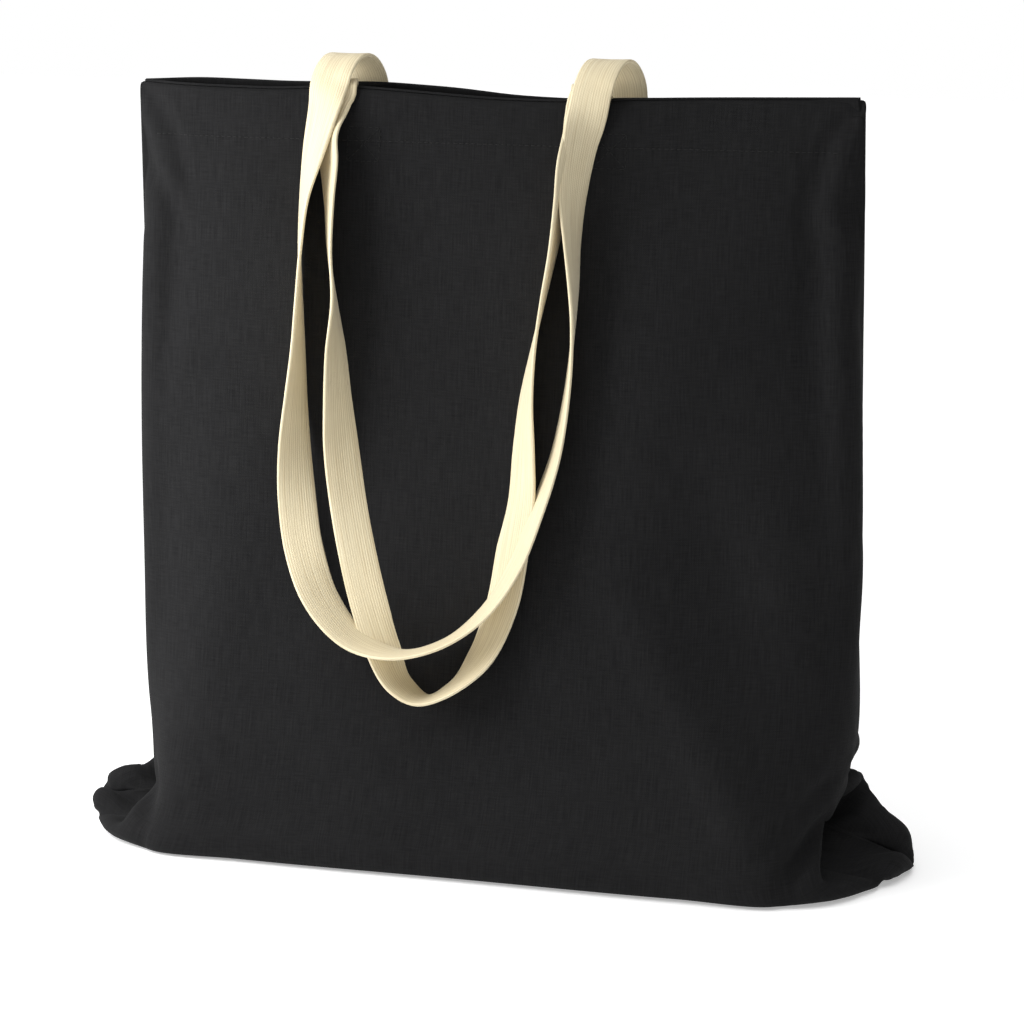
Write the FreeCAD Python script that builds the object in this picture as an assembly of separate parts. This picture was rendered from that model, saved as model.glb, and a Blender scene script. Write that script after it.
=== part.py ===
import FreeCAD, Part
import math
import os
from FreeCAD import Vector

# A flat canvas tote bag standing on a pushed-out base, with two webbing handles
# that hang over its front.  Millimetres, +Z up, +X to the wearer's right of the
# front panel as it is looked at, -Y towards the front.  The origin is the centre
# of the base, on the surface that the bag stands on.

# ---- driving dimensions -------------------------------------------------------
mouth_width = 380.0          # seam to seam at the top edge
standing_height = 394.0      # surface to the top edge
mouth_gap = 18.0             # front to back at the top edge
base_depth = 140.0           # front to back on the surface
base_width = 326.0           # between the two front corners of the base
ear_span = 450.0             # tip to tip of the corners that stick out sideways
throat_height = 62.0         # where the side creases in above each ear
lean = 0.158                 # how far each panel leans in, per unit of height

cloth = 1.0                  # one layer of canvas
ease = 0.03                  # air between two layers that lie on each other
hem_depth = 25.0             # width of the turned-over hem
seam_allowance = 10.0        # cloth left inside each seam
overlock_width = 2.5         # thread that wraps the raw edges
thread = 0.4                 # how far a line of stitches stands out
stitch_width = 0.7

webbing_width = 20.0
webbing = 1.8                # thickness of the webbing
back_spacing = 136.0         # between the middles of the back handle's two ends
front_spacing = 128.0        # the same on the front handle
end_drop = 40.0              # how far a sewn end reaches below the top edge
box_side = 17.0              # sewn square with a cross that holds each end
handle_gap = 0.4             # between a sewn bend and the free loop below it

back_bend_radius = 12.15     # the back handle passes over the whole mouth
back_bend_centre = (-1.15, 398.0)
front_bend_radius = 2.5      # the front handle only turns over the front edge
front_bend_centre = (-8.5, 394.3)
bend_foot = 392.0            # height at which both bends end
front_loop_offset = 1.9      # middle of the webbing, out from the front panel
back_loop_offset = 4.3

mouth_half = mouth_gap / 2
side = mouth_width / 2


def panel_y(z):
    """Distance of a panel's outer face from the middle plane, above the throat."""
    return mouth_half + lean * (standing_height - z)


# One station per height: z, then the side seam's x, the shoulder's x and y where
# the side turns into the panel, and the x and y of the end of the flat panel.
stations = [
    (0.0, ear_span / 2, 196.0, 38.0, base_width / 2, base_depth / 2),
    (30.0, 205.0, 178.0, 38.0, 150.0, 67.5),
    (throat_height, side, 173.0, 36.0, 139.0, panel_y(throat_height)),
    (130.0, side + 0.5, 178.0, 27.0, 146.0, panel_y(130.0)),
    (240.0, side + 1.0, 181.0, 18.0, 152.0, panel_y(240.0)),
    (340.0, side + 0.5, 180.0, 10.0, 158.0, panel_y(340.0)),
    (standing_height, side, 178.0, 5.0, 155.0, mouth_half),
]

# Centre lines of the two hanging loops, as x and z, from the left end to the right.
back_loop_path = [
    (-79, 391.6), (-89, 345), (-92, 290), (-92, 230), (-88, 185), (-74, 142), (-50, 119),
    (-26, 115), (2, 129), (24, 160), (40, 212), (49, 270), (51, 330), (57, 391.6),
]
front_loop_path = [
    (-75, 391.6), (-80, 350), (-78, 300), (-71, 240), (-63, 190), (-50, 142), (-37, 111),
    (-20, 94), (-3, 103), (12, 132), (23, 180), (28, 240), (37, 300), (44, 355), (53, 391.6),
]

os.makedirs("parts", exist_ok=True)
made = {}


def keep(name, shape):
    """Checks one finished sub-part and writes it."""
    if not shape.isValid() or shape.Volume <= 0:
        raise ValueError(name + " is not a sound solid")
    made[name] = shape
    shape.exportStep("parts/" + name + ".step")


# ---- outline of the bag at one height --------------------------------------------
def station_at(z):
    """The station at any height, interpolated between the two nearest."""
    for low, high in zip(stations, stations[1:]):
        if low[0] <= z <= high[0]:
            share = (z - low[0]) / (high[0] - low[0])
            return tuple(a + share * (b - a) for a, b in zip(low, high))
    raise ValueError("no cloth at this height")


def meet(p, u, q, v):
    """The point where the line from p along u crosses the line from q along v."""
    cross = u[0] * v[1] - u[1] * v[0]
    along = ((q[0] - p[0]) * v[1] - (q[1] - p[1]) * v[0]) / cross
    return (p[0] + along * u[0], p[1] + along * u[1])


def outline(z, inset):
    """Front half of the section at height z, left to right, moved in by inset."""
    _, side_x, shoulder_x, shoulder_y, face_x, face_y = station_at(z)
    half = [(side_x, 0.0), (shoulder_x, shoulder_y), (face_x, face_y), (0.0, face_y)]
    lines = []
    for a, b in zip(half, half[1:]):
        run = (b[0] - a[0], b[1] - a[1])
        size = math.hypot(*run)
        inward = (-abs(run[1]) / size * inset, -abs(run[0]) / size * inset)
        lines.append(((a[0] + inward[0], a[1] + inward[1]), run))
    right = [meet((0.0, 0.0), (1.0, 0.0), *lines[0])]
    right.append(meet(*lines[0], *lines[1]))
    right.append(meet(*lines[1], *lines[2]))
    return [(-x, -y) for x, y in right] + [(x, -y) for x, y in reversed(right)]


def wire(points):
    return Part.makePolygon(points + [points[0]])


def loft(wires):
    return Part.makeLoft(wires, True, True)


def layer(low, high, outer, inner, ends=True):
    """A layer of the front wall between two heights and two insets."""
    heights = [low] + [s[0] for s in stations if low < s[0] < high] + [high]
    trim = slice(None) if ends else slice(1, -1)
    wires = []
    for z in heights:
        ring = outline(z, outer)[trim] + outline(z, inner)[trim][::-1]
        wires.append(wire([Vector(x, y, z) for x, y in ring]))
    return loft(wires)


def to_back(shape):
    return shape.mirror(Vector(0, 0, 0), Vector(0, 1, 0))


# ---- front and back panels, each with its half of the base -------------------------
floor_ring = [Vector(x, y, 0) for x, y in outline(0.0, cloth)]
base_half = Part.Face(wire(floor_ring)).extrude(Vector(0, 0, cloth))
front_panel = layer(0.0, standing_height, 0.0, cloth).fuse(base_half).removeSplitter()
keep("front_panel", front_panel)
keep("back_panel", to_back(front_panel))

# ---- hem turned over to the inside of the mouth, and its line of stitches, which
# stops at each handle end, where the sewn square holds the hem instead --------------
hem_foot = standing_height - hem_depth
hem = layer(hem_foot, standing_height, cloth + ease, 2 * cloth)
stitch_foot = hem_foot + 2.0
hem_stitching = layer(stitch_foot, stitch_foot + stitch_width, -thread, 0.0, ends=False)



def stop_at_ends(stitching, spacing):
    """Leaves the stitches out where the two ends of a handle are sewn."""
    for sign in (-1, 1):
        gap = Part.makeBox(webbing_width + 2, base_depth, webbing_width)
        gap.translate(Vector(sign * spacing / 2 - gap.BoundBox.Center.x, -base_depth / 2, hem_foot))
        stitching = stitching.cut(gap)
    return stitching


keep("front_hem_fold", hem)
keep("back_hem_fold", to_back(hem))
keep("front_hem_stitching", stop_at_ends(hem_stitching, front_spacing))
keep("back_hem_stitching", to_back(stop_at_ends(hem_stitching, back_spacing)))


# ---- side seams: two plies turned to the inside, with overlocked edges -------------
def inner_corner(z):
    """Where the two panels meet inside, and how far in they are two plies apart."""
    ring = outline(z, cloth)
    corner, shoulder = ring[-1], ring[-2]
    slope = abs(shoulder[1]) / (corner[0] - shoulder[0])
    return corner[0], cloth / slope


def seam_wires(low, high, shape_at):
    heights = [low] + [s[0] for s in stations if low < s[0] < high] + [high]
    return [wire([Vector(x, y, z) for x, y in shape_at(z)]) for z in heights]


def allowance_ring(z):
    corner, run_in = inner_corner(z)
    free = corner - seam_allowance
    return [(corner, 0), (corner - run_in, cloth), (free, cloth), (free, -cloth), (corner - run_in, -cloth)]


def overlock_ring(z):
    outer = inner_corner(z)[0] - seam_allowance
    inner = outer - overlock_width
    half = cloth + thread
    return [(outer, -half), (outer, half), (inner, half), (inner, -half)]


seam_foot = 4.0
side_seam = loft(seam_wires(seam_foot, hem_foot - 0.5, allowance_ring))
side_overlock = loft(seam_wires(seam_foot, hem_foot - 0.5, overlock_ring))
for name, seam in (("side_seam", side_seam), ("side_overlock", side_overlock)):
    keep("right_" + name, seam)
    keep("left_" + name, seam.mirror(Vector(0, 0, 0), Vector(1, 0, 0)))

# ---- bottom seam, lying flat on the base towards the back -------------------------
bottom_half = ear_span / 2 - 20.0
bottom_seam = Part.makeBox(2 * bottom_half, seam_allowance, 2 * cloth, Vector(-bottom_half, 0, cloth))
keep("bottom_seam", bottom_seam)
overlock_corner = Vector(2 - bottom_half, seam_allowance, cloth)
bottom_overlock = Part.makeBox(2 * bottom_half - 4, overlock_width, 2 * cloth + thread, overlock_corner)
keep("bottom_overlock", bottom_overlock)


# ---- handles ---------------------------------------------------------------------
def webbing_rectangle(centre, across, out):
    half = across * (webbing_width / 2)
    face = out * (webbing / 2)
    return wire([centre - half - face, centre + half - face, centre + half + face, centre - half + face])


def sewn_end(x, profile):
    """A flat end of webbing from its outline in y and z."""
    points = [Vector(x - webbing_width / 2, y, z) for y, z in profile]
    return Part.Face(wire(points)).extrude(Vector(webbing_width, 0, 0))


def bend(x_sewn, x_free, centre, radius):
    """Webbing that rises from its sewn end, turns over the mouth and comes down in
    front, leaning sideways on the way."""
    centre_y, centre_z = centre
    steps = 10
    angles = [math.pi * i / steps for i in range(steps + 1)]
    profile = [(radius * math.cos(a), radius * math.sin(a)) for a in angles]
    profile = [(radius, bend_foot - centre_z)] + profile + [(-radius, bend_foot - centre_z)]
    wires = []
    for i, (y, z) in enumerate(profile):
        share = i / (len(profile) - 1)
        out = Vector(0, y, max(z, 0.0)).normalize()
        middle = Vector(x_sewn + share * (x_free - x_sewn), centre_y + y, centre_z + z)
        wires.append(webbing_rectangle(middle, Vector(1, 0, 0), out))
    return loft(wires)


def loop(path, offset):
    """The free loop, hanging flat in a plane that leans with the front panel."""
    curve = Part.BSplineCurve()
    curve.interpolate([Vector(x, 0, z) for x, z in path])
    steps = 48
    first, last = curve.FirstParameter, curve.LastParameter
    out = Vector(0, -1, lean).normalize()
    wires = []
    for i in range(steps + 1):
        u = first + (last - first) * i / steps
        spot = curve.value(u)
        run = curve.tangent(u)[0]
        along = Vector(run.x, run.z * lean, run.z).normalize()
        across = out.cross(along)
        if i == 0:
            across = Vector(1, 0, 0)
        if i == steps:
            across = Vector(-1, 0, 0)
        centre = Vector(spot.x, -(panel_y(spot.z) + offset), spot.z)
        wires.append(webbing_rectangle(centre, across, out))
    return loft(wires)


def box_stitch(outward):
    """A sewn square with a cross in it, on the leaning outer face of the front."""
    half = box_side / 2
    bars = []
    for turn in range(4):
        bar = Part.makeBox(box_side, thread, stitch_width, Vector(-half, -thread, half - stitch_width))
        bar.rotate(Vector(0, 0, 0), Vector(0, 1, 0), 90 * turn)
        bars.append(bar)
    diagonal = math.sqrt(2) * (box_side - 2 * stitch_width)
    for angle in (45, -45):
        bar = Part.makeBox(diagonal, thread, stitch_width, Vector(-diagonal / 2, -thread, -stitch_width / 2))
        bar.rotate(Vector(0, 0, 0), Vector(0, 1, 0), angle)
        bars.append(bar)
    square = bars[0].multiFuse(bars[1:]).removeSplitter()
    drop = end_drop - 4.0 - half
    square.rotate(Vector(0, 0, 0), Vector(1, 0, 0), -math.degrees(math.atan(lean)))
    height = standing_height - drop
    square.translate(Vector(0, -(panel_y(height) + outward), height))
    return square


end_foot = standing_height - end_drop
back_top = back_bend_centre[0] + back_bend_radius
front_top = front_bend_centre[0] + front_bend_radius
flush = bend_foot - 6.0      # from here down the webbing lies flat on the cloth
inside = 2 * cloth * math.hypot(1.0, lean)


def end_profile(top_y, face_y):
    """Outline of a sewn end, whose inner face leans with face_y below flush."""
    return [
        (top_y - webbing / 2, bend_foot), (top_y + webbing / 2, bend_foot),
        (face_y(flush) + webbing, flush), (face_y(end_foot) + webbing, end_foot),
        (face_y(end_foot), end_foot), (face_y(flush), flush),
    ]


back_profile = end_profile(back_top, panel_y)
front_profile = end_profile(front_top, lambda z: inside - panel_y(z))
for side_name, sign in (("left", -1), ("right", 1)):
    end = 0 if sign < 0 else -1
    front_x = sign * front_spacing / 2
    back_x = sign * back_spacing / 2
    front_name = "front_" + side_name
    back_name = "back_" + side_name
    keep(front_name + "_handle_end", sewn_end(front_x, front_profile))
    keep(back_name + "_handle_end", sewn_end(back_x, back_profile))
    front_bend = bend(front_x, front_loop_path[end][0], front_bend_centre, front_bend_radius)
    keep(front_name + "_handle_bend", front_bend)
    back_bend = bend(back_x, back_loop_path[end][0], back_bend_centre, back_bend_radius)
    keep(back_name + "_handle_bend", back_bend)
    front_square = box_stitch(0.0)
    front_square.translate(Vector(front_x, 0, 0))
    keep(front_name + "_box_stitch", front_square)
    back_square = to_back(box_stitch(webbing))
    back_square.translate(Vector(back_x, 0, 0))
    keep(back_name + "_box_stitch", back_square)

keep("front_handle_loop", loop(front_loop_path, front_loop_offset))
keep("back_handle_loop", loop(back_loop_path, back_loop_offset))

for name in sorted(made):
    box = made[name].BoundBox
    print("%-26s x %7.1f %7.1f  y %6.1f %6.1f  z %6.1f %6.1f  volume %9.1f" % (
        name, box.XMin, box.XMax, box.YMin, box.YMax, box.ZMin, box.ZMax, made[name].Volume))
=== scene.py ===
import bpy
import math
import numpy as np
from mathutils import Matrix, Vector
from mathutils.bvhtree import BVHTree


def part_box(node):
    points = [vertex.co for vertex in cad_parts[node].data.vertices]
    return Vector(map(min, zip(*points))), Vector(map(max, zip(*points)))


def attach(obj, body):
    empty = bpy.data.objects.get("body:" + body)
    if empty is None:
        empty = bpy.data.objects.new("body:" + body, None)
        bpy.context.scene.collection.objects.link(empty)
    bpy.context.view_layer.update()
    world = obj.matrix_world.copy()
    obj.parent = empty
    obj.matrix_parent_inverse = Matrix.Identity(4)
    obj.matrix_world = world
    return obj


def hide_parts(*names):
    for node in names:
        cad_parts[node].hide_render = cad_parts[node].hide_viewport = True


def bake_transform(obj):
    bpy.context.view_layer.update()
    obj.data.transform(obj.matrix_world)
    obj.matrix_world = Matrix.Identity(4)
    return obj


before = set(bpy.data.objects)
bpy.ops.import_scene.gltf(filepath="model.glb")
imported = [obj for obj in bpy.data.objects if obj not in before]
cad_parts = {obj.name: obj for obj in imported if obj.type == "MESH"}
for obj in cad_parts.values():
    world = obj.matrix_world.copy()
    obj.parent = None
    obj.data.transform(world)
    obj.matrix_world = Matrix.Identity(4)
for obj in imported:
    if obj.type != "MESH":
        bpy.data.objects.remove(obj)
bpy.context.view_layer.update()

# ---- Canvas panels ---------------------------------------------------------------
# Front and back are one cut of heavy cotton canvas each, a little wider at the foot
# than at the mouth.  They are sewn down both sides and along the bottom, and the
# bag then stands on a pushed-out base, so its two lower corners stick out as ears.
mouth_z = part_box("front_panel")[1][2]
wall_length = 0.399
base_half = 0.078
panel_length = wall_length + base_half
mouth_cut = 0.382
foot_cut = 0.452
canvas_thick = 0.0009

# The grid that each panel is settled on: threads across, and down its wall and base.
columns = 129
wall_rows = 101
base_rows = 19


def curve_through(knots, values, at):
    """Smooth values at the given places, through values that are known at knots."""
    knots = np.asarray(knots, float)
    values = np.asarray(values, float)
    slopes = np.gradient(values, knots, axis=0)
    place = np.clip(np.searchsorted(knots, at, side="right") - 1, 0, len(knots) - 2)
    width = knots[place + 1] - knots[place]
    s = (at - knots[place]) / width
    shape = (-1,) + (1,) * (values.ndim - 1)
    s, width = s.reshape(shape), width.reshape(shape)
    a, b = values[place], values[place + 1]
    da, db = slopes[place] * width, slopes[place + 1] * width
    return (
        (2 * s**3 - 3 * s**2 + 1) * a + (s**3 - 2 * s**2 + s) * da
        + (3 * s**2 - 2 * s**3) * b + (s**3 - s**2) * db
    )


# The standing shape, as points of the right half of each panel: one row for each
# distance down the cloth, from the middle of the panel to the side seam.  A point is
# its place to the side, out from the middle of the bag, and up, in millimetres.  The
# side seams sit a little to the front in the walls, and in the ears the back canvas
# stands higher than the seam.
down_marks = [0.0, 120.0, 250.0, 332.0, 366.0, 390.0, 399.0, 416.0, 438.0, 477.0]
across_marks = [0.0, 0.52, 0.725, 0.89, 1.0]
front_shape = [
    [(0, 9, 394), (99, 9, 394), (138, 8.8, 394), (169, 5.5, 394), (190, 0, 394)],
    [(0, 28, 276), (104, 28, 276), (149, 25.5, 276), (183, 13, 276), (190, 5, 275)],
    [(0, 49, 147), (109, 49, 147), (156, 46, 147), (187, 23, 147), (188.5, 10, 146)],
    [(0, 63, 66), (112, 63, 66), (162, 59, 66), (188, 27, 66), (188.5, 10, 62)],
    [(0, 70, 33), (116, 70, 33), (164, 67, 33), (184, 24, 38), (179, 8, 42)],
    [(0, 77, 9), (117, 77, 9), (166, 74, 9), (169, 42, 15), (167, 6, 29)],
    [(0, 78.5, 0), (117, 78.5, 0), (168, 76, 0), (176, 41, 12), (168, 6, 27)],
    [(0, 61, 0), (117, 61, 0), (170, 60, 0), (197, 39, 7), (185, 8, 22)],
    [(0, 39, 0), (117, 39, 0), (170, 39, 0), (214, 29, 4), (205, 8, 15.5)],
    [(0, 0, 0), (117, 0, 0), (163, 0, 0), (201, 0, 0), (225, 1, 4)],
]
back_shape = [
    [(0, 9, 394), (99, 9, 394), (138, 8.8, 394), (169, 5.5, 394), (190, 0, 394)],
    [(0, 27.6, 276), (104, 27.6, 276), (149, 26, 276), (184, 14, 276), (190, -5, 275)],
    [(0, 48, 147), (109, 48, 147), (156, 45, 147), (192, 20, 147), (188.5, -10, 146)],
    [(0, 61, 66), (112, 61, 66), (162, 57, 66), (194, 22, 68), (188.5, -10, 62)],
    [(0, 68, 33), (116, 68, 33), (160, 62, 36), (188, 14, 49), (179, -8, 42)],
    [(0, 74, 9), (117, 74, 9), (162, 67, 12), (195, 15, 42), (167, -6, 29)],
    [(0, 75, 0), (117, 75, 0), (165, 65, 4), (199, 15, 38), (168, -6, 27)],
    [(0, 58, 0), (117, 58, 0), (170, 55, 1), (207, 15, 27), (185, -8, 22)],
    [(0, 38, 0), (117, 38, 0), (172, 38, 0), (217, 13, 13), (205, -8, 15.5)],
    [(0, 0, 0), (117, 0, 0), (163, 0, 0), (201, 0, 0), (225, -1, 4)],
]
left_ear_height = 0.58
ear_start = 0.735
ear_ridge = 0.89


def relax(points, rest, free, rounds, settle, reach, lowest=0.0006):
    """Lets a grid of cloth settle until its threads have their cut length again.
    Points that aren't free stay, and none may sink to the floor or past its reach."""
    weight = free.astype(float)
    links = []
    rows, cols = free.shape

    def link(di, dj, stiffness, parity_axis, period):
        """Ties points that lie di rows and dj columns apart, in two passes in which
        no point is tied twice."""
        for phase in range(2):
            i = np.arange(rows - di)
            j = np.arange(abs(dj) if dj < 0 else 0, cols - max(dj, 0))
            if parity_axis == 0:
                i = i[(i // period) % 2 == phase]
            else:
                j = j[(j // period) % 2 == phase]
            a = (i[:, None], j[None, :])
            b = (i[:, None] + di, j[None, :] + dj)
            size = np.linalg.norm(rest[a] - rest[b], axis=-1)
            wa, wb = weight[a], weight[b]
            total = np.maximum(wa + wb, 1e-9)
            share_a, share_b = wa / total * stiffness, wb / total * stiffness
            links.append((a, b, size, share_a[..., None], share_b[..., None]))

    link(0, 1, 1.0, 1, 1)
    link(1, 0, 1.0, 0, 1)
    link(1, 1, 0.35, 0, 1)
    link(1, -1, 0.35, 0, 1)
    link(0, 4, 0.12, 1, 4)
    link(4, 0, 0.12, 0, 4)
    mask = free[..., None]
    for _ in range(rounds):
        points = points + settle * mask
        for a, b, size, share_a, share_b in links:
            pa, pb = points[a], points[b]
            gap = pb - pa
            length = np.maximum(np.linalg.norm(gap, axis=-1), 1e-9)
            push = gap * (1.0 - size / length)[..., None]
            points[a] = pa + push * share_a
            points[b] = pb - push * share_b
        points[..., 2] = np.maximum(points[..., 2], lowest)
        points[..., 1] = np.minimum(points[..., 1], reach)
    return points


def smooth_line(values, reach):
    """Values evened out over a few neighbours to each side."""
    kernel = np.hanning(2 * reach + 1)
    kernel /= kernel.sum()
    return np.convolve(np.pad(values, reach, mode="edge"), kernel, mode="valid")


across = np.linspace(-1.0, 1.0, columns)
down = np.concatenate([
    np.linspace(0.0, wall_length, wall_rows)[:-1],
    np.linspace(wall_length, panel_length, base_rows),
])
half_cut = (mouth_cut + (foot_cut - mouth_cut) * (down / panel_length) ** 0.85) / 2


def cut_panel(ear_room):
    """Where each point of a panel lies on its flat cut, whose lower corners are a
    little rounded and fuller than a plain rectangle's."""
    outer = np.clip((np.abs(across) - 0.7) / 0.3, 0, 1)[None, :]
    full = 1 + ear_room * outer * np.exp(-((down - 0.400) / 0.035) ** 2)[:, None]
    wide = across[None, :] * half_cut[:, None] * full
    long = down[:, None] - 0.3 * outer ** 2 * np.clip(down - 0.332, 0, None)[:, None]
    return np.stack([wide, long], axis=-1)


def stand_up(shape):
    """The grid of a panel on its standing shape, as if it were the front one."""
    net = np.array(shape, float) / 1000.0
    rows_net = curve_through(np.array(down_marks) / 1000.0, net, down)
    turned = np.moveaxis(rows_net, 1, 0)
    grid = curve_through(across_marks, turned, np.abs(across))
    grid = np.moveaxis(grid, 0, 1)
    grid[..., 0] *= np.sign(across)[None, :]
    grid[..., 1] *= -1
    grid[..., 0] += np.interp(down, (0, 0.12, 0.24, 0.34, 0.40), (0, 0.0024, 0.0060, 0.0048, 0))[:, None]
    ear = np.clip((np.abs(across) - ear_start) / 0.12, 0, 1)[None, :]
    ear = ear * np.clip((down - 0.332) / 0.03, 0, 1)[:, None]
    grid[..., 2] *= 1 - (1 - left_ear_height) * ear * (across < 0)[None, :]
    return grid


def open_mouth(grid, gap_marks, dip_marks):
    """Moves the mouth edge out by its gap and down by its dip; both fade out below."""
    x = grid[0, :, 0] * 1000
    gap = smooth_line(np.interp(x, *zip(*gap_marks)), 6)
    dip = smooth_line(np.interp(x, *zip(*dip_marks)), 6)
    fade = np.clip(1 - down / 0.16, 0, 1)[:, None] ** 2
    grid[..., 1] -= (gap[None, :] / 1000 + grid[0, :, 1][None, :]) * fade
    grid[..., 2] += dip[None, :] / 1000 * np.clip(1 - down / 0.3, 0, 1)[:, None]
    grid[0, [0, -1], 1] = 0.0


def settle_cloth(grid, cut):
    """The grid at rest, held at the mouth, the seams, the foot and the ears' ridges."""
    free = np.ones(grid.shape[:2], bool)
    free[[0, -1], :] = False
    free[:, [0, -1]] = False
    free[wall_rows - 1, np.abs(across) < ear_start] = False
    ridge = np.abs(np.abs(across) - ear_ridge) < 0.008
    free[np.ix_((down > 0.368) & (down < 0.445), ridge)] = False
    reach = np.where(np.abs(across) > 0.84, 0.016, -0.0004)[None, :]
    settle = np.array([0.0, -0.000004, -0.000004])
    grid = relax(grid, cut, free, rounds=260, settle=settle, reach=reach)
    even = np.array([smooth_line(line, 7) for line in grid[..., 1]])
    share = np.clip((0.88 - np.abs(across)) / 0.12, 0, 1)[None, :]
    share = share * np.clip((0.36 - down) / 0.06, 0, 1)[:, None]
    share[0] = 0
    grid[..., 1] += (even - grid[..., 1]) * share * 0.85
    return grid


def press_folds(grid, folds):
    """Soft folds: each has two ends in x and z, its half width, and how far out it
    stands, or in, all in millimetres.  They fade at the hem, the seams and the floor."""
    fade = np.clip((down - 0.035) / 0.08, 0, 1)[:, None] * np.clip(grid[..., 2] / 0.03, 0, 1)
    fade = fade * np.clip((0.97 - np.abs(across)) / 0.12, 0, 1)
    for (x0, z0), (x1, z1), wide, high in folds:
        run_x, run_z = x1 - x0, z1 - z0
        size = math.hypot(run_x, run_z)
        dx, dz = grid[..., 0] * 1000 - x0, grid[..., 2] * 1000 - z0
        along = np.clip((dx * run_x + dz * run_z) / size / size, 0, 1)
        off = (dx * run_z - dz * run_x) / size
        grid[..., 1] -= high / 1000 * np.exp(-(off / wide) ** 2) * np.sin(np.pi * along) ** 0.7 * fade


def panel_grid(shape, cut, gap_marks, dip_marks, folds):
    """The settled grid of one panel, as if it were the front one."""
    grid = stand_up(shape)
    open_mouth(grid, gap_marks, dip_marks)
    grid = settle_cloth(grid, cut)
    press_folds(grid, folds)
    return grid


def cloth_object(name, grid, cut, flip):
    """A mesh of the grid with its cut as the UV map, in metres."""
    rows, cols = grid.shape[:2]
    points = grid.reshape(-1, 3).copy()
    if flip:
        points[:, 1] *= -1
    index = np.arange(rows * cols).reshape(rows, cols)
    quads = np.stack([index[:-1, :-1], index[1:, :-1], index[1:, 1:], index[:-1, 1:]], axis=-1)
    quads = quads.reshape(-1, 4)
    if flip:
        quads = quads[:, ::-1]
    mesh = bpy.data.meshes.new(name)
    mesh.from_pydata(points.tolist(), [], quads.tolist())
    uv = mesh.uv_layers.new(name="cut")
    flat = cut.reshape(-1, 2)
    loops = np.zeros(len(mesh.loops), np.int32)
    mesh.loops.foreach_get("vertex_index", loops)
    uv.data.foreach_set("uv", flat[loops].astype(np.float32).ravel())
    mesh.shade_smooth()
    piece = bpy.data.objects.new(name, mesh)
    bpy.context.scene.collection.objects.link(piece)
    return piece


def thicken(piece, thickness, offset):
    """Smooths a sheet of cloth and gives it its thickness, in or out by the offset."""
    smooth = piece.modifiers.new("smooth", "SUBSURF")
    smooth.levels = smooth.render_levels = 1
    solid = piece.modifiers.new("thickness", "SOLIDIFY")
    solid.thickness = thickness
    solid.offset = offset
    solid.use_even_offset = False
    bpy.ops.object.select_all(action="DESELECT")
    piece.select_set(True)
    bpy.context.view_layer.objects.active = piece
    for modifier in list(piece.modifiers):
        bpy.ops.object.modifier_apply(modifier=modifier.name)


# How far the mouth edge stands out from the side seams, and how far it sags, at a few
# places across, in millimetres.  The right end of the mouth is nearly closed.
front_gap = [
    (-190, 0), (-176, 5), (-160, 9), (-130, 10), (-68, 9),
    (0, 8.5), (68, 8), (95, 4.5), (118, 2.2), (190, 0.6),
]
front_dip = [
    (-190, 0), (-150, -1), (-110, -1.5), (-75, 0.5), (-40, -1.5),
    (0, -4), (35, -4.5), (80, -2.5), (190, 0),
]
back_gap = [
    (-190, 0), (-176, 5), (-160, 9.5), (-130, 10), (-68, 9),
    (0, 8), (68, 7.5), (95, 4), (118, 2), (190, 0.6),
]
back_dip = [
    (-190, 0), (-160, 1), (-110, 0), (-60, 1), (-20, -1), (10, -4),
    (40, -5), (90, -3), (110, -2.2), (150, -2), (190, 0),
]
front_folds = [
    ((120, 470), (62, 90), 46, 9.0),
    ((62, 185), (185, -30), 14, 3.6),
    ((100, 240), (190, 20), 22, -5.5),
    ((-150, 300), (-178, 180), 9, 1.4),
    ((-120, 180), (-165, 10), 18, 2.0),
]
back_folds = [
    ((-120, 360), (-60, 120), 24, 2.4),
    ((60, 250), (150, 40), 22, 2.6),
]
front_cut, back_cut = cut_panel(0.14), cut_panel(0.15)
front_grid = panel_grid(front_shape, front_cut, front_gap, front_dip, front_folds)
back_grid = panel_grid(back_shape, back_cut, back_gap, back_dip, back_folds)
back_grid[:, [0, -1]] = front_grid[:, [0, -1]] * (1, -1, 1)
back_grid[-1] = front_grid[-1] * (1, -1, 1)


def start_material(name):
    """A new node material: its tree, its shader, and a short way to add a node."""
    material = bpy.data.materials.new(name)
    material.use_nodes = True
    tree = material.node_tree

    def add(kind, inputs=(), **settings):
        made = tree.nodes.new(kind)
        for key, value in settings.items():
            setattr(made, key, value)
        for socket, value in dict(inputs).items():
            if isinstance(value, bpy.types.NodeSocket):
                tree.links.new(value, made.inputs[socket])
            else:
                made.inputs[socket].default_value = value
        return made

    return material, tree.nodes["Principled BSDF"], tree, add


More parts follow.
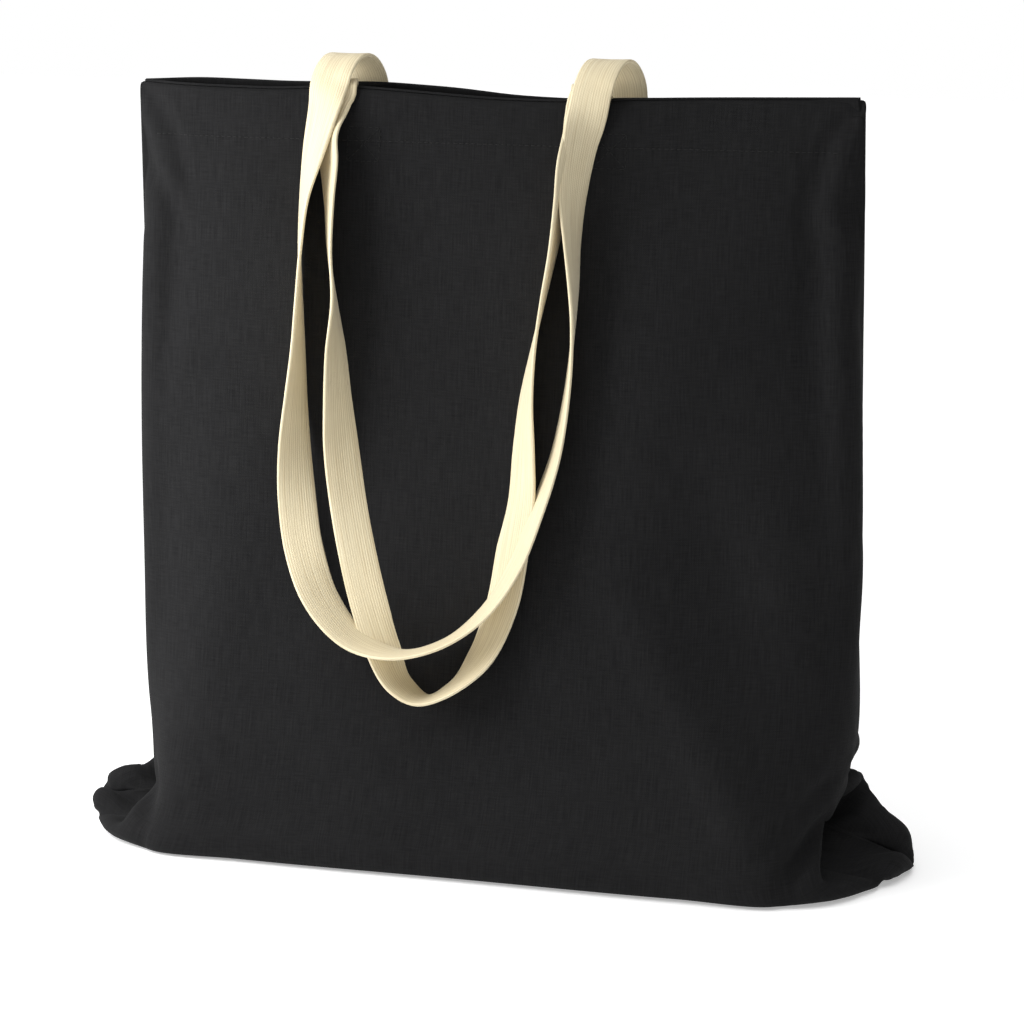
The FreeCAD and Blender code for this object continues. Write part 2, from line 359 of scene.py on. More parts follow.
def weave_group():
    """Plain weave on a cloth's own cut: its height, and how light each thread is."""
    group = bpy.data.node_groups.new("plain_weave", "ShaderNodeTree")
    for name, kind in (("Cut", "NodeSocketVector"), ("Threads", "NodeSocketFloat")):
        group.interface.new_socket(name, in_out="INPUT", socket_type=kind)
    for name in ("Height", "Tone"):
        group.interface.new_socket(name, in_out="OUTPUT", socket_type="NodeSocketFloat")
    nodes, links = group.nodes, group.links
    entry, leave = nodes.new("NodeGroupInput"), nodes.new("NodeGroupOutput")

    def op(kind, a, b=0.0):
        made = nodes.new("ShaderNodeMath")
        made.operation = kind
        for socket, value in zip(made.inputs, (a, b)):
            if isinstance(value, bpy.types.NodeSocket):
                links.new(value, socket)
            else:
                socket.default_value = value
        return made.outputs[0]

    def noise(scale, detail):
        place = nodes.new("ShaderNodeMapping")
        links.new(entry.outputs["Cut"], place.inputs["Vector"])
        place.inputs["Scale"].default_value = scale
        made = nodes.new("ShaderNodeTexNoise")
        made.inputs["Scale"].default_value = 1.0
        made.inputs["Detail"].default_value = detail
        links.new(place.outputs[0], made.inputs["Vector"])
        return made.outputs["Fac"]

    split = nodes.new("ShaderNodeSeparateXYZ")
    links.new(entry.outputs["Cut"], split.inputs[0])
    turns = op("MULTIPLY", entry.outputs["Threads"], math.pi)
    warp = op("SINE", op("MULTIPLY", split.outputs["X"], turns))
    weft = op("SINE", op("MULTIPLY", split.outputs["Y"], turns))
    over = op("MULTIPLY", warp, weft)
    rounds = op("ADD", op("ABSOLUTE", warp), op("ABSOLUTE", weft))
    warps, wefts = noise((1500.0, 60.0, 1.0), 2.0), noise((110.0, 1500.0, 1.0), 2.0)
    slubs = op("ADD", op("MULTIPLY", warps, 1.15), op("MULTIPLY", wefts, 0.85))
    height = op("ADD", op("MULTIPLY", over, 0.35), op("MULTIPLY", rounds, 0.25))
    links.new(op("ADD", height, op("MULTIPLY", slubs, 0.6)), leave.inputs["Height"])
    links.new(op("ADD", op("MULTIPLY", over, 0.08), slubs), leave.inputs["Tone"])
    return group


plain_weave = weave_group()


def cloth_material(name, dark, light, threads, roughness, bump, sheen):
    material, shader, tree, add = start_material(name)
    place = add("ShaderNodeUVMap", uv_map="cut")
    weave = add("ShaderNodeGroup", node_tree=plain_weave)
    tree.links.new(place.outputs[0], weave.inputs["Cut"])
    weave.inputs["Threads"].default_value = threads
    where = add("ShaderNodeTexCoord")
    clouds = add("ShaderNodeTexNoise", {"Vector": where.outputs["Object"], "Scale": 11.0, "Detail": 5.0})
    spread = add("ShaderNodeMapRange", {"Value": weave.outputs["Tone"], "From Min": 0.6, "From Max": 1.4})
    cloudy = add("ShaderNodeMapRange", {"Value": clouds.outputs["Fac"], "From Min": 0.3, "From Max": 0.7,
                                        "To Min": -0.12, "To Max": 0.12})
    both = {0: spread.outputs[0], 1: cloudy.outputs[0]}
    tone = add("ShaderNodeMath", both, operation="ADD", use_clamp=True)
    colour = add("ShaderNodeMix", {"Factor": tone.outputs[0]}, data_type="RGBA")
    colour.inputs["A"].default_value = (*dark, 1.0)
    colour.inputs["B"].default_value = (*light, 1.0)
    tree.links.new(colour.outputs["Result"], shader.inputs["Base Color"])
    rough = add("ShaderNodeMapRange", {"Value": tone.outputs[0]})
    rough.inputs["To Min"].default_value = roughness + 0.05
    rough.inputs["To Max"].default_value = roughness - 0.05
    tree.links.new(rough.outputs[0], shader.inputs["Roughness"])
    threads_up = {"Height": weave.outputs["Height"], "Strength": bump, "Distance": 0.00022}
    bumps = add("ShaderNodeBump", threads_up)
    tree.links.new(bumps.outputs[0], shader.inputs["Normal"])
    shader.inputs["Sheen Weight"].default_value = sheen
    shader.inputs["Sheen Roughness"].default_value = 0.45
    shader.inputs["Specular IOR Level"].default_value = 0.06
    return material


canvas = cloth_material(
    "black_canvas", dark=(0.0082, 0.0082, 0.0086), light=(0.0165, 0.0165, 0.0170),
    threads=2200.0, roughness=0.86, bump=0.45, sheen=0.02)

for side_name, grid, cut in (("front", front_grid, front_cut), ("back", back_grid, back_cut)):
    panel = cloth_object(side_name + "_canvas", grid, cut, flip=side_name == "back")
    thicken(panel, canvas_thick, -1.0)
    panel.data.materials.append(canvas)
    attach(panel, "bag")
    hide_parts(side_name + "_panel")

front_canvas = bpy.data.objects["front_canvas"]
back_canvas = bpy.data.objects["back_canvas"]


# ---- Hems --------------------------------------------------------------------------
# The top 27 mm of each panel is turned to the inside, with its raw edge turned under
# again.  The fold makes the mouth edge, two cloths thick, and one row of stitches
# holds its foot.
hem_depth = 0.0275
hem_width, hem_cut = 0.376, 0.029

# The hem's way, as how far in it lies and how far up, from the mouth edge to its foot.
hem_path = [
    (0.0, 0.0003), (0.00018, 0.00075), (0.0007, 0.00095), (0.00125, 0.0006), (0.0014, -0.0004),
]
hem_path += [(0.0014, -h / 1000) for h in (3, 7, 11, 15, 19, 23, 26)]
hem_path += [(0.00135, -hem_depth + 0.0002), (0.0010, -hem_depth - 0.0003), (0.0006, -hem_depth + 0.0003)]


def hem_grid(grid, side):
    """The hem strip on the inside of a panel, from the mouth edge to its foot."""
    rows = []
    keep = np.abs(across) < 0.985
    face = grid[:, keep] * (1, side, 1)
    for inward, rise in hem_path:
        at = max(0.0, -rise)
        row = int(np.searchsorted(down, at, side="right")) - 1
        share = (at - down[row]) / (down[row + 1] - down[row])
        line = face[row] * (1 - share) + face[row + 1] * share
        line[:, 1] += side * (canvas_thick * 0.5 + inward)
        line[:, 2] += max(0.0, rise)
        rows.append(line)
    return np.array(rows)


def strip_object(name, grid, width, length):
    """A mesh of a strip of cloth; its UV map is the strip laid flat, in metres."""
    rows, cols = grid.shape[:2]
    flat = np.meshgrid(np.linspace(0, width, cols), np.linspace(0, length, rows))
    return cloth_object(name, grid, np.stack(flat, axis=-1), flip=False)


def point_outwards(piece):
    bpy.ops.object.select_all(action="DESELECT")
    piece.select_set(True)
    bpy.context.view_layer.objects.active = piece
    bpy.ops.object.mode_set(mode="EDIT")
    bpy.ops.mesh.select_all(action="SELECT")
    bpy.ops.mesh.normals_make_consistent(inside=False)
    bpy.ops.object.mode_set(mode="OBJECT")


for side_name, grid, side in (("front", front_grid, 1), ("back", back_grid, -1)):
    hem = strip_object(side_name + "_hem", hem_grid(grid, side), hem_width, hem_cut)
    thicken(hem, canvas_thick, 0.0)
    point_outwards(hem)
    hem.data.materials.append(canvas)
    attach(hem, "bag")
    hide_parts(side_name + "_hem_fold")
front_hem = bpy.data.objects["front_hem"]
back_hem = bpy.data.objects["back_hem"]


# ---- Handles ---------------------------------------------------------------------
# Each handle is one length of cream cotton webbing.  The back one is sewn outside
# the back panel and falls over the mouth; the front one is sewn inside the front
# hem and falls below it.  Both hang over the front and turn edge-on on the way.
webbing_width = 0.020
webbing_thick = 0.0018
webbing_pitch = 0.0022
sewn_length = 0.040
mouth_y = 0.009
lean = 0.158


def faces_of(piece):
    """The faces of a piece, for finding where a ray meets them."""
    return BVHTree.FromObject(piece, bpy.context.evaluated_depsgraph_get())


def face_at(trees, x, z, from_y):
    """Point and normal of the first face that is met at x and z, coming from y."""
    way = 1.0 if from_y < 0 else -1.0
    rays = [tree.ray_cast(Vector((x, from_y, z)), Vector((0, way, 0))) for tree in trees]
    hits = [ray for ray in rays if ray[0]]
    if not hits:
        return None, None
    point, normal, _, _ = min(hits, key=lambda hit: hit[3])
    return point, normal if normal.y * way < 0 else -normal


def loop_points(marks):
    """Centre line points and face normals of a hanging loop.  Each mark is x and z,
    how far out from the leaning front panel, and the turn of the webbing in degrees."""
    marks = np.array(marks, float)
    x, z, off = marks[:, 0] / 1000, marks[:, 1] / 1000, marks[:, 2] / 1000
    turn = np.radians(marks[:, 3])
    points = np.stack([x, -(mouth_y + lean * (mouth_z - z) + off), z], axis=1)
    run = np.gradient(points, axis=0)
    run /= np.linalg.norm(run, axis=1)[:, None]
    facing = np.array([0.0, -1.0, lean])
    facing = facing - (run @ facing)[:, None] * run
    facing /= np.linalg.norm(facing, axis=1)[:, None]
    outward = np.cross(run, facing)
    normal = np.cos(turn)[:, None] * facing + np.sin(turn)[:, None] * outward
    return points, normal


def webbing_section():
    """The webbing's flat section with rounded edges, once round, as wide and thick."""
    half, thick = webbing_width / 2, webbing_thick / 2
    edge = [(half - thick, thick), (half - thick * 0.3, thick * 0.72), (half, 0.0),
            (half - thick * 0.3, -thick * 0.72), (half - thick, -thick)]
    flats = [half - thick, half * 0.45, 0.0, -half * 0.45, thick - half]
    section = [(wide, thick) for wide in flats[::-1][1:-1]] + edge
    section += [(wide, -thick) for wide in flats[1:-1]]
    section += [(-wide, high) for wide, high in edge[::-1]]
    return np.array(section)


def webbing(name, points, normals):
    """A length of webbing along a smooth line through the points, and how long it is."""
    points, normals = np.array(points), np.array(normals)
    chord = np.concatenate([[0], np.cumsum(np.linalg.norm(np.diff(points, axis=0), axis=1))])
    fine = np.linspace(0, chord[-1], int(chord[-1] / 0.0006))
    line = curve_through(chord, points, fine)
    true = np.concatenate([[0], np.cumsum(np.linalg.norm(np.diff(line, axis=0), axis=1))])
    length = true[-1]
    count = int(length / webbing_pitch)
    at = np.interp(np.linspace(0, length, count), true, fine)
    line = curve_through(chord, points, at)
    out = curve_through(chord, normals, at)
    run = np.gradient(line, axis=0)
    run /= np.linalg.norm(run, axis=1)[:, None]
    out -= np.sum(out * run, axis=1)[:, None] * run
    out /= np.linalg.norm(out, axis=1)[:, None]
    wide = np.cross(run, out)
    ring = webbing_section()
    grid = line[:, None, :] + ring[None, :, :1] * wide[:, None, :] + ring[None, :, 1:] * out[:, None, :]
    rows, cols = grid.shape[:2]
    index = np.arange(rows * cols).reshape(rows, cols)
    turned = np.roll(index, -1, axis=1)
    quads = np.stack([index[:-1], index[1:], turned[1:], turned[:-1]], axis=-1).reshape(-1, 4).tolist()
    quads.append(index[0].tolist())
    quads.append(index[-1][::-1].tolist())
    mesh = bpy.data.meshes.new(name)
    mesh.from_pydata(grid.reshape(-1, 3).tolist(), [], quads)
    uv = mesh.uv_layers.new(name="cut")
    along = np.linspace(0, length, count)
    for polygon in mesh.polygons:
        for corner, vertex in zip(polygon.loop_indices, polygon.vertices):
            row, col = divmod(vertex, cols)
            uv.data[corner].uv = (ring[col][0], along[row])
    mesh.shade_smooth()
    mesh.update()
    piece = bpy.data.objects.new(name, mesh)
    bpy.context.scene.collection.objects.link(piece)
    return piece, length


def webbing_material():
    material, shader, tree, add = start_material("cream_webbing")
    place = add("ShaderNodeUVMap", uv_map="cut")
    split = add("ShaderNodeSeparateXYZ", {0: place.outputs[0]})
    ribs = add("ShaderNodeMath", {0: split.outputs["X"], 1: 2 * math.pi / 0.00125}, operation="MULTIPLY")
    rib = add("ShaderNodeMath", {0: ribs.outputs[0]}, operation="SINE")
    steps = add("ShaderNodeMath", {0: split.outputs["Y"], 1: 2 * math.pi / 0.0011}, operation="MULTIPLY")
    lean_over = add("ShaderNodeMath", {0: ribs.outputs[0], 1: 0.5}, operation="MULTIPLY")
    slant = add("ShaderNodeMath", {0: steps.outputs[0], 1: lean_over.outputs[0]}, operation="ADD")
    pick = add("ShaderNodeMath", {0: slant.outputs[0]}, operation="SINE")
    long_place = add("ShaderNodeMapping", {"Vector": place.outputs[0]})
    long_place.inputs["Scale"].default_value = (1700.0, 22.0, 1.0)
    streaks = add("ShaderNodeTexNoise", {"Vector": long_place.outputs[0], "Scale": 1.0, "Detail": 3.0})
    where = add("ShaderNodeTexCoord")
    clouds = add("ShaderNodeTexNoise", {"Vector": where.outputs["Object"], "Scale": 22.0, "Detail": 4.0})
    half_rib = add("ShaderNodeMath", {0: rib.outputs[0], 1: 0.5}, operation="MULTIPLY")
    woven = {0: pick.outputs[0], 1: 0.18, 2: half_rib.outputs[0]}
    height = add("ShaderNodeMath", woven, operation="MULTIPLY_ADD")
    hairy = {0: streaks.outputs["Fac"], 1: 1.3, 2: height.outputs[0]}
    rough_height = add("ShaderNodeMath", hairy, operation="MULTIPLY_ADD")
    ribbed = {0: rib.outputs[0], 1: 0.10, 2: streaks.outputs["Fac"]}
    mixed = add("ShaderNodeMath", ribbed, operation="MULTIPLY_ADD")
    spread = add("ShaderNodeMapRange", {"Value": mixed.outputs[0], "From Min": 0.28, "From Max": 0.62})
    cloudy = add("ShaderNodeMapRange", {"Value": clouds.outputs["Fac"], "From Min": 0.3, "From Max": 0.7,
                                        "To Min": -0.15, "To Max": 0.15})
    both = {0: spread.outputs[0], 1: cloudy.outputs[0]}
    tone = add("ShaderNodeMath", both, operation="ADD", use_clamp=True)
    colour = add("ShaderNodeMix", {"Factor": tone.outputs[0]}, data_type="RGBA")
    colour.inputs["A"].default_value = (0.62, 0.515, 0.325, 1.0)
    colour.inputs["B"].default_value = (0.765, 0.675, 0.465, 1.0)
    tree.links.new(colour.outputs["Result"], shader.inputs["Base Color"])
    bumps = add("ShaderNodeBump", {"Height": rough_height.outputs[0], "Strength": 0.35, "Distance": 0.0002})
    tree.links.new(bumps.outputs[0], shader.inputs["Normal"])
    shader.inputs["Roughness"].default_value = 0.62
    shader.inputs["Sheen Weight"].default_value = 0.15
    shader.inputs["Specular IOR Level"].default_value = 0.35
    return material


cream_webbing = webbing_material()

# The two hanging loops, each from its left bend down and up again to its right bend.
back_marks = [
    (-84.5, 384, 5, 20), (-87.8, 364, 8, 38), (-91.5, 339, 10.5, 61), (-92.3, 314, 12, 70),
    (-92, 289, 12, 80), (-91.5, 264, 12, 91), (-91.7, 239, 12, 106), (-91.3, 213, 12, 128),
    (-89.3, 188, 11, 150), (-84.6, 163, 11, 158), (-74, 138.5, 12, 138), (-53, 119.5, 15, 114),
    (-31, 115, 17, 97), (-9.5, 121, 16.5, 100), (12.5, 138, 16, 112), (28, 162, 16, 120),
    (38, 190, 14, 121), (45.3, 215.5, 12, 117), (50, 245, 12, 111), (51.8, 268, 12, 105),
    (52.2, 286, 12, 98), (51.6, 301, 12, 90), (49.6, 322, 11, 80), (48.3, 344, 9, 62),
    (49.2, 360, 8, 50), (50.8, 372, 7, 40), (53, 384, 5, 15),
]
front_marks = [
    (-80, 389, 2.4, 5), (-82, 382, 3.2, 12), (-82, 370, 6.3, 38), (-79.5, 356, 8.6, 47),
    (-78, 339, 10.8, 60), (-76.6, 314, 11.7, 69), (-73.2, 289, 11.8, 78), (-71.6, 264, 11, 102),
    (-69.8, 239, 10, 118), (-67.5, 214, 8, 138), (-63.6, 189, 6, 150), (-58.2, 164, 5, 158),
    (-51.5, 139.5, 4.5, 163), (-41.5, 115, 6, 150), (-31, 98, 9.5, 118), (-19, 91.5, 11.5, 98),
    (-5, 97.5, 11.5, 108), (10, 114, 9, 138), (19.5, 139, 6, 156), (24, 169, 5, 160),
    (27, 194, 5.5, 152), (28, 219, 7.5, 138), (29, 244, 9.5, 122), (32, 269, 11, 108),
    (36, 294, 11.5, 100), (40.2, 319, 11.5, 94), (43.3, 343, 11.3, 84), (46.5, 360, 9.6, 62),
    (50.5, 374, 5.5, 34), (51.5, 384, 3, 12), (51.8, 389, 2.4, 5),
]


def over_the_mouth(centre_y, centre_z, radius, x_sewn, x_free, early, sewn_face, from_y):
    """Points and normals from the foot of a sewn end, over the mouth and down.  On the
    way the webbing moves from its sewn to its free place, some of it early on."""
    points, normals = [], []
    foot = mouth_z - sewn_length
    for height, moved in ((foot, 0.0), (foot + 0.013, 0.0), (foot + 0.026, 0.5 * early)):
        x = x_sewn + moved * (x_free - x_sewn)
        spot, _ = face_at(sewn_face, x, height, from_y)
        points.append((x, spot.y + webbing_thick / 2 + 0.0001, height))
        normals.append((0.0, 1.0, lean if from_y > 0 else -lean))
    for i in range(7):
        angle = math.pi * i / 6
        share = early + (1 - early) * (i + 0.6) / 7
        points.append((x_sewn + share * (x_free - x_sewn), centre_y + radius * math.cos(angle),
                       centre_z + radius * math.sin(angle)))
        normals.append((0.0, math.cos(angle), math.sin(angle)))
    return points, normals


def handle(name, marks, spacing, early, centre_y, centre_z, radius, sewn_face, from_y):
    """One whole handle: sewn end, bend, hanging loop, bend and sewn end."""
    loop_line, loop_out = loop_points(marks)
    ends = []
    for sign, free_mark in ((-1, marks[0]), (1, marks[-1])):
        x_free = free_mark[0] / 1000 + 0.002
        x_sewn = sign * spacing / 2
        ends.append(over_the_mouth(
            centre_y, centre_z, radius, x_sewn, x_free, early, sewn_face, from_y))
    points = ends[0][0] + loop_line.tolist() + ends[1][0][::-1]
    normals = ends[0][1] + loop_out.tolist() + ends[1][1][::-1]
    return webbing(name, points, normals)


front_cloth = (faces_of(front_canvas), faces_of(front_hem))
back_cloth = (faces_of(back_canvas), faces_of(back_hem))
back_spacing, front_spacing = 0.136, 0.128
back_strap, back_strap_length = handle(
    "back_handle", back_marks, back_spacing, early=0.0,
    centre_y=-0.00115, centre_z=0.398, radius=0.01215, sewn_face=back_cloth, from_y=0.2)
front_strap, front_strap_length = handle(
    "front_handle", front_marks, front_spacing, early=1.1,
    centre_y=-0.0085, centre_z=0.3955, radius=0.0027, sewn_face=front_cloth, from_y=0.0)
for strap, side_name, start, end, length in (
    (back_strap, "back", (0, 0.0105, 0.395), (0, -0.0145, 0.395), back_strap_length),
    (front_strap, "front", (0, -0.0078, 0.394), (0, -0.0093, 0.39424), front_strap_length),
):
    strap.data.materials.append(cream_webbing)
    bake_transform(strap)
    sewn_parts = [side_name + "_" + part for part in (
        "left_handle_end", "left_handle_bend", "right_handle_end", "right_handle_bend")]
    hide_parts(side_name + "_handle_loop", *sewn_parts)


# ---- Seam allowances -----------------------------------------------------------------
# Both panels' edges are kept together inside the bag, 10 mm of two cloths, down each
# side and along the bottom.  They are sewn in, so they start at the seam itself.
allowance = 0.010
allowance_thick = 0.0019
side_length, bottom_length = 0.46, 0.428


def side_allowance(sign):
    """Strip of a side seam: across from the seam to its edge, down its length."""
    seam = front_grid[2::2, -1 if sign > 0 else 0]
    run = np.gradient(seam, axis=0)
    inward = np.stack([sign * run[:, 2], 0 * run[:, 0], -sign * run[:, 0]], axis=1)
    for _ in range(10):
        inward[1:-1] = (inward[:-2] + inward[1:-1] + inward[2:]) / 3
    inward /= np.linalg.norm(inward, axis=1)[:, None]
    inward[:, 0] = np.where(inward[:, 0] * sign > 0, 0.0, inward[:, 0])
    drop = np.arange(len(seam)) / len(seam)
    rows = []
    for share in np.linspace(0.0, 1.0, 6):
        room = np.maximum(seam[:, 2] - 0.0025, 0.0005) * (0.3 + 0.7 * share)
        width = np.minimum(allowance * share, room)
        sway = 0.0011 * share * np.sin(drop * 31 + sign) + 0.0006 * share * np.sin(drop * 83)
        line = seam + inward * (width[:, None] + 0.0006)
        line[:, 1] += sway
        rows.append(line)
    return np.array(rows)


def bottom_allowance():
    """Strip of the bottom seam, turned over to the front on the base."""
    x = np.linspace(-bottom_length / 2, bottom_length / 2, 120)
    path = (
        (0.0, 0.0007), (-0.0002, 0.0016), (0.0010, 0.0026),
        (0.0040, 0.0028), (0.0075, 0.0027), (0.0098, 0.0026),
    )
    rows = []
    for inward, rise in path:
        lift = 0.0005 * np.sin(x * 95) * inward / allowance
        rows.append(np.stack([x, 0 * x - inward, rise + lift + 0 * x], axis=1))
    return np.array(rows)


seam_strips = []
for name, grid, length in (
    ("left_side", side_allowance(-1), side_length),
    ("right_side", side_allowance(1), side_length),
    ("bottom", bottom_allowance(), bottom_length),
):
    strip = strip_object(name + "_allowance", grid, length, allowance)
    thicken(strip, allowance_thick, 0.0)
    point_outwards(strip)
    strip.data.materials.append(canvas)
    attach(strip, "bag")
    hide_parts(name + "_seam")
    seam_strips.append((name, grid))


# ---- Stitches ------------------------------------------------------------------------
# Dark thread: a row along the foot of each hem and a square with a cross through each
# sewn handle end, seen on both faces, and loops over the raw edges of the seams.
stitch_pitch = 0.0031
loop_pitch = 0.0026
hem_row_z = mouth_z - 0.0258
square_z = mouth_z - 0.0275
half_square = 0.0085


def thread_material(name, dark, light):
    material, shader, tree, add = start_material(name)
    where = add("ShaderNodeTexCoord")
    fibres = add("ShaderNodeTexNoise", {"Vector": where.outputs["Object"], "Scale": 2600.0, "Detail": 2.0})
    colour = add("ShaderNodeMix", {"Factor": fibres.outputs["Fac"]}, data_type="RGBA")
    colour.inputs["A"].default_value = (*dark, 1.0)
    colour.inputs["B"].default_value = (*light, 1.0)
    tree.links.new(colour.outputs["Result"], shader.inputs["Base Color"])
    bumps = add("ShaderNodeBump", {"Height": fibres.outputs["Fac"], "Strength": 0.4, "Distance": 0.0001})
    tree.links.new(bumps.outputs[0], shader.inputs["Normal"])
    shader.inputs["Roughness"].default_value = 0.7
    shader.inputs["Specular IOR Level"].default_value = 0.15
    return material


dark_thread = thread_material("sewing_thread", (0.006, 0.006, 0.006), (0.022, 0.022, 0.022))
overlock_thread = thread_material("edge_thread", (0.012, 0.012, 0.013), (0.045, 0.045, 0.047))


def one_stitch():
    """A short length of thread whose ends dip into the cloth."""
    bpy.ops.object.select_all(action="DESELECT")
    bpy.ops.mesh.primitive_cylinder_add(
        vertices=6, radius=0.00024, depth=0.0025, rotation=(0, math.pi / 2, 0))
    stitch = bpy.context.object
    bpy.ops.object.transform_apply(rotation=True)
    bpy.ops.object.mode_set(mode="EDIT")
    bpy.ops.mesh.select_all(action="SELECT")
    bpy.ops.mesh.bisect(plane_co=(-0.0008, 0, 0), plane_no=(1, 0, 0))
    bpy.ops.mesh.select_all(action="SELECT")
    bpy.ops.mesh.bisect(plane_co=(0.0008, 0, 0), plane_no=(1, 0, 0))
    bpy.ops.mesh.select_all(action="DESELECT")
    bpy.ops.object.mode_set(mode="OBJECT")
    for vertex in stitch.data.vertices:
        vertex.select = abs(vertex.co.x) > 0.0012
    bpy.ops.object.mode_set(mode="EDIT")
    bpy.ops.transform.resize(value=(1.0, 0.75, 0.75))
    bpy.ops.transform.translate(value=(0, 0, -0.00022))
    bpy.ops.mesh.select_all(action="SELECT")
    bpy.ops.mesh.normals_make_consistent(inside=False)
    bpy.ops.object.mode_set(mode="OBJECT")
    bpy.ops.object.shade_smooth()
    return stitch


def one_loop():
    """A loop of overlock thread around the raw edge of two cloths."""
    bpy.ops.object.select_all(action="DESELECT")
    bpy.ops.mesh.primitive_torus_add(
        major_segments=10, minor_segments=4, major_radius=0.0016, minor_radius=0.00021,
        rotation=(math.pi / 2, 0, 0))
    loop = bpy.context.object
    bpy.ops.object.transform_apply(rotation=True)
    bpy.ops.object.mode_set(mode="EDIT")
    bpy.ops.mesh.select_all(action="SELECT")
    bpy.ops.transform.resize(value=(1.0, 1.0, 0.82))
    bpy.ops.object.mode_set(mode="OBJECT")
    bpy.ops.object.shade_smooth()
    return loop


def frame_on(point, along, out):
    """A placing whose X runs along and whose Z points out."""
    out = Vector(out).normalized()
    along = Vector(along)
    along = (along - out * along.dot(out)).normalized()
    side = out.cross(along)
    placing = Matrix((along, side, out)).transposed().to_4x4()
    placing.translation = point
    return placing


def sew(name, model, placings, material, node):
    """Copies of one modelled stitch, each with its own mesh, joined into one piece."""
    bpy.ops.object.select_all(action="DESELECT")
    for placing in placings:
        copy = model.copy()
        copy.data = model.data.copy()
        copy.matrix_world = placing
        bpy.context.scene.collection.objects.link(copy)
        copy.select_set(True)
        bpy.context.view_layer.objects.active = copy
    bpy.ops.object.join()
    bpy.ops.object.transform_apply(location=True, rotation=True, scale=True)
    piece = bpy.context.object
    piece.name = name
    piece.data.materials.clear()
    piece.data.materials.append(material)
    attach(piece, "bag")
    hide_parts(node)
    return piece


def row_of_stitches(trees, start, end, from_y, leave_out=()):
    """Placings of a row of stitches on a face, from one x and z to another.  None is
    put behind the webbing at the places to leave out, or where the ray meets no cloth."""
    (x0, z0), (x1, z1) = start, end
    count = max(2, int(round(math.hypot(x1 - x0, z1 - z0) / stitch_pitch)))
    placings = []
    for i in range(count):
        share = (i + 0.5) / count
        x, z = x0 + (x1 - x0) * share, z0 + (z1 - z0) * share
        if any(abs(x - middle) < webbing_width / 2 + 0.001 for middle in leave_out):
            continue
        spot, normal = face_at(trees, x, z, from_y)
        if spot is None:
            continue
        placings.append(frame_on(spot + normal * 0.00005, (x1 - x0, 0.0, z1 - z0), normal))
    return placings


stitch, loop = one_stitch(), one_loop()
front_ends = (-front_spacing / 2, front_spacing / 2)
back_ends = (-back_spacing / 2, back_spacing / 2)
for side_name, cloth, out_y, in_y, cover_out, cover_in in (
    ("front", front_cloth, -0.2, 0.0005, (), front_ends),
    ("back", back_cloth, 0.2, -0.0005, back_ends, ())):
    placings = row_of_stitches(cloth, (-0.178, hem_row_z), (0.178, hem_row_z), out_y, cover_out)
    placings += row_of_stitches(cloth, (-0.172, hem_row_z), (0.172, hem_row_z), in_y, cover_in)
    hem = side_name + "_hem"
    sew(hem + "_stitches", stitch, placings, dark_thread, hem + "_stitching")

front_strap_face, back_strap_face = (faces_of(front_strap),), (faces_of(back_strap),)
for side_name, strap_face, cloth_face, strap_y, cloth_y, ends in (
    ("front", front_strap_face, front_cloth, 0.0, -0.2, front_ends),
    ("back", back_strap_face, back_cloth, 0.2, -0.0005, back_ends)):
    for hand, middle in zip(("left", "right"), ends):
        left, right = middle - half_square, middle + half_square
        low, high = square_z - half_square, square_z + half_square
        corners = [(left, low), (right, low), (right, high), (left, high)]
        lines = list(zip(corners, corners[1:] + corners[:1]))
        lines += [(corners[0], corners[2]), (corners[1], corners[3])]
        placings = []
        for start, end in lines:
            placings += row_of_stitches(strap_face, start, end, strap_y)
            placings += row_of_stitches(cloth_face, start, end, cloth_y)
        name = side_name + "_" + hand
        sew(name + "_square", stitch, placings, dark_thread, name + "_box_stitch")

for name, grid in seam_strips:
    edge = grid[-1]
    inner = grid[-2]
    steps = np.linalg.norm(np.diff(edge, axis=0), axis=1)
    travel = np.concatenate([[0.0], np.cumsum(steps)])
    at = np.arange(0.002, travel[-1] - 0.002, loop_pitch)
    spots = np.stack([np.interp(at, travel, edge[:, k]) for k in range(3)], axis=1)
    inners = np.stack([np.interp(at, travel, inner[:, k]) for k in range(3)], axis=1)
    placings = []
    for i, (spot, back) in enumerate(zip(spots, inners)):
        out = Vector(spot - back).normalized()
        run = Vector(spots[min(i + 1, len(spots) - 1)] - spots[max(i - 1, 0)]).normalized()
        slant = (run + out * (0.25 if i % 2 else -0.1)).normalized()
        across_it = slant.cross(out).normalized()
        placings.append(frame_on(Vector(spot) - out * 0.0012, out, across_it))
    sew(name + "_overlock_loops", loop, placings, overlock_thread, name + "_overlock")
for model in (stitch, loop):
    bpy.data.objects.remove(model)


# ---- Floor, light and camera -------------------------------------------------------
# The bag stands on a pale floor in a white room, lit mostly from its left by a
# softbox close to it, with a weak one at the right and an even white ceiling.
bpy.ops.object.select_all(action="DESELECT")
bpy.ops.mesh.primitive_plane_add(size=8.0, location=(0, 0, -0.0003))
floor = bpy.context.object
floor.name = "floor"
floor_paint, floor_shader, _, _ = start_material("pale_floor")
floor_shader.inputs["Base Color"].default_value = (0.92, 0.92, 0.92, 1.0)
floor_shader.inputs["Roughness"].default_value = 0.8
floor_shader.inputs["Emission Color"].default_value = (1.0, 1.0, 1.0, 1.0)
floor_shader.inputs["Emission Strength"].default_value = 0.35
floor.data.materials.append(floor_paint)

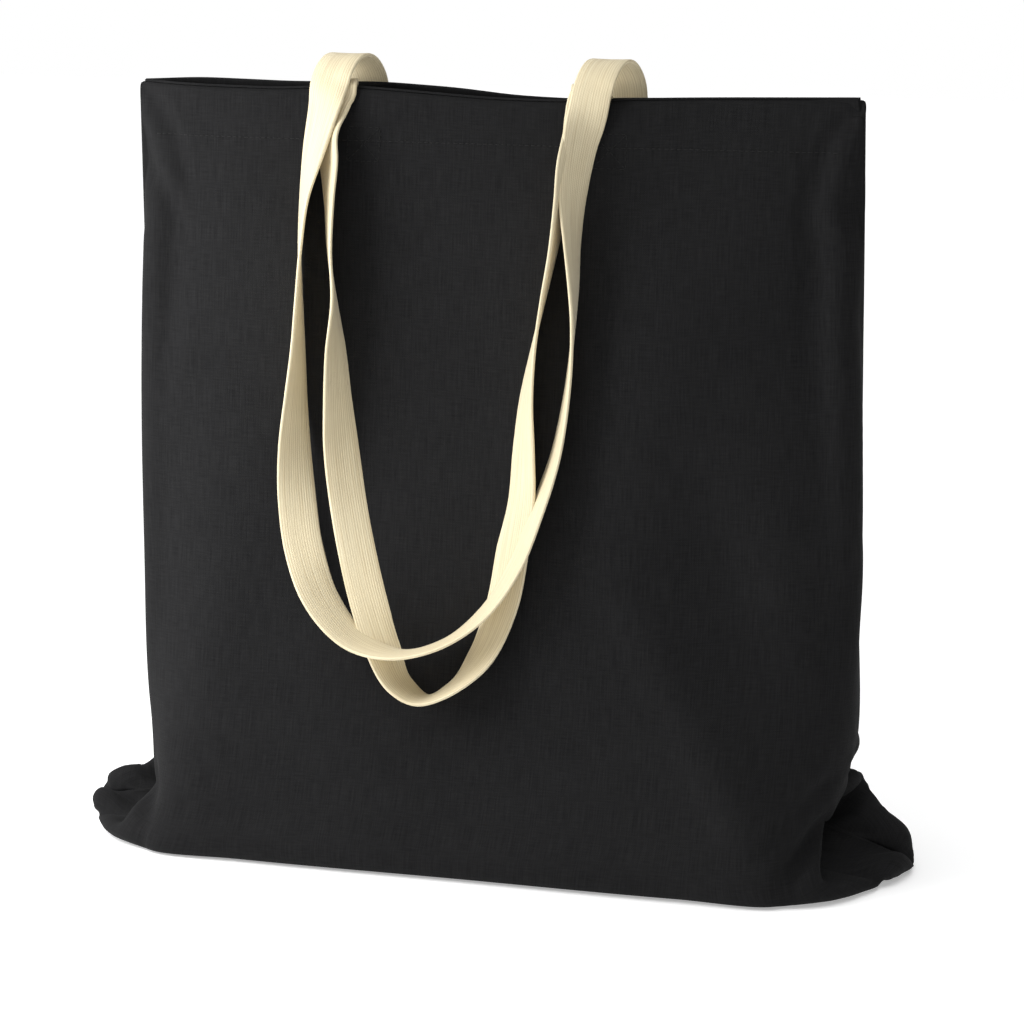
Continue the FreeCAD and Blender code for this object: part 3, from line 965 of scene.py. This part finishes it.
# The room looks white to the camera, and gives more light from the left.
world = bpy.data.worlds.new("studio")
bpy.context.scene.world = world
world.use_nodes = True
sky, sky_links = world.node_tree.nodes, world.node_tree.links
seen = sky.new("ShaderNodeLightPath")
way = sky.new("ShaderNodeTexCoord")
parts = sky.new("ShaderNodeSeparateXYZ")
fall = sky.new("ShaderNodeMapRange")
fall.inputs["From Min"].default_value, fall.inputs["From Max"].default_value = -0.9, 0.7
fall.inputs["To Min"].default_value, fall.inputs["To Max"].default_value = 0.6, 0.02
choose = sky.new("ShaderNodeMix")
sky_links.new(way.outputs["Generated"], parts.inputs[0])
sky_links.new(parts.outputs["X"], fall.inputs["Value"])
sky_links.new(seen.outputs["Is Camera Ray"], choose.inputs["Factor"])
sky_links.new(fall.outputs[0], choose.inputs["A"])
choose.inputs["B"].default_value = 1.0
sky_links.new(choose.outputs["Result"], sky["Background"].inputs["Strength"])
sky["Background"].inputs["Color"].default_value = (1.0, 1.0, 1.0, 1.0)
bpy.context.scene.view_settings.view_transform = "Standard"


def softbox(name, place, aim, width, height, power):
    lamp = bpy.data.lights.new(name, "AREA")
    lamp.shape = "RECTANGLE"
    lamp.size, lamp.size_y, lamp.energy = width, height, power
    made = bpy.data.objects.new(name, lamp)
    bpy.context.scene.collection.objects.link(made)
    made.location = place
    made.rotation_euler = (Vector(aim) - Vector(place)).to_track_quat("-Z", "Y").to_euler()
    made.visible_camera = False


softbox("key", (-0.41, -0.27, 0.36), (-0.05, 0, 0.2), 0.26, 0.45, 2.9)
softbox("fill", (0.9, -1.1, 0.7), (0, 0, 0.25), 0.6, 0.6, 1.4)
sun = bpy.data.objects.new("ceiling", bpy.data.lights.new("ceiling", "SUN"))
sun.data.energy, sun.data.angle = 1.7, math.radians(70)
sun.location = (0, 0, 2)
bpy.context.scene.collection.objects.link(sun)

azimuth, elevation, distance = math.radians(15.2), math.radians(13.0), 1.662
target = Vector((0.0102, 0.0, 0.1761))
level = math.cos(elevation)
back_away = Vector((math.sin(azimuth) * level, -math.cos(azimuth) * level, math.sin(elevation)))
lens = bpy.data.cameras.new("camera")
lens.lens, lens.sensor_width = 112.5, 36.0
camera = bpy.data.objects.new("camera", lens)
bpy.context.scene.collection.objects.link(camera)
camera.location = target + back_away * distance
camera.rotation_euler = (-back_away).to_track_quat("-Z", "Y").to_euler()
bpy.context.scene.camera = camera
